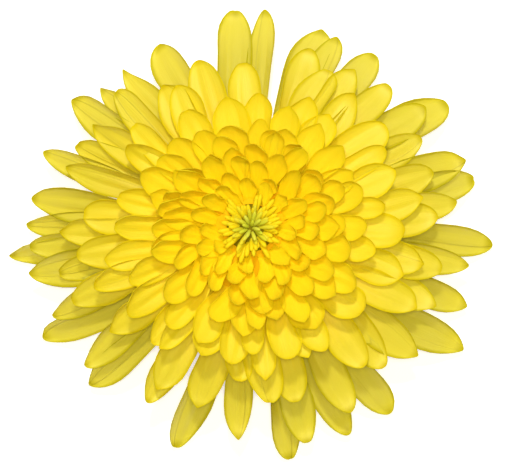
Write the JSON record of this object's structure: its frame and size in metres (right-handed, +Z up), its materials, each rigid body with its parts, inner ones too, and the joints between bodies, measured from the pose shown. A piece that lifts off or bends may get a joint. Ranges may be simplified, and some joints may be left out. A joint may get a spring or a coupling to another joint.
{
  "type": "cut chrysanthemum bloom",
  "caption": "Double yellow chrysanthemum bloom cut close under its head, lying face up on its lowest ray tips and the stub of its stem.",
  "frame": {"origin": "on the surface that the bloom lies on, under the middle of its outline", "axes": "+Z up along the flower's axis, out of the face of the bloom; +Y towards the top of the picture and +X towards its right"},
  "size_m": [0.0972, 0.0913, 0.0321],
  "materials": {
    "ray_petal": "soft satin petal, golden yellow in the middle and paler towards the rim",
    "disc_floret": "matt greenish yellow, darker between the florets",
    "bract": "matt green with pale papery edges",
    "stem": "matt green, ribbed, with a pale moist cut end"
  },
  "bodies": {
    "root": {"ray_florets": "ray_petal", "disc_florets": "disc_floret", "involucre": "bract", "stalk": "stem"}
  },
  "joints": []
}
